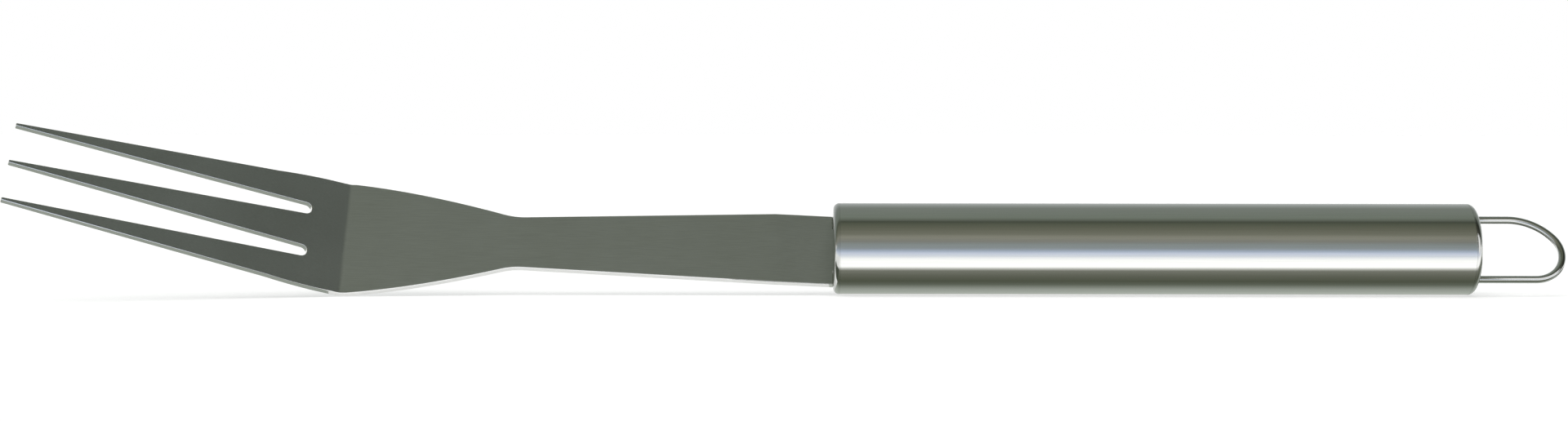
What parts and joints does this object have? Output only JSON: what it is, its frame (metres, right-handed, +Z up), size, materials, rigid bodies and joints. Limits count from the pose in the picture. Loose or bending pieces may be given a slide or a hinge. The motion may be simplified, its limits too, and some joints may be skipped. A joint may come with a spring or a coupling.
{
  "type": "barbecue fork",
  "caption": "Long sheet steel barbecue fork with tapering tines bent up from a flared head, a round hollow handle closed by pressed caps, and a wire loop to hang it by.",
  "frame": {"origin": "middle of the foot of the resting fork: bottom centre of its box, on the surface it lies on", "axes": "+X along the handle, from the tines to the hanging loop, +Z up, as the fork rests on its handle and on the lower corner of its head"},
  "size_m": [0.416, 0.0542, 0.0466],
  "materials": {
    "satin_blade": "satin ground stainless sheet with bright rolled edges",
    "brushed_handle": "fine polished stainless tube with a faint lengthwise grain",
    "polished_cap": "polished pressed stainless sheet",
    "bright_wire": "bright drawn stainless wire"
  },
  "bodies": {
    "root": {"fork_blade": "satin_blade", "handle_tube": "brushed_handle", "front_cap": "polished_cap", "rear_cap": "polished_cap", "hanging_loop": "bright_wire"}
  },
  "joints": []
}
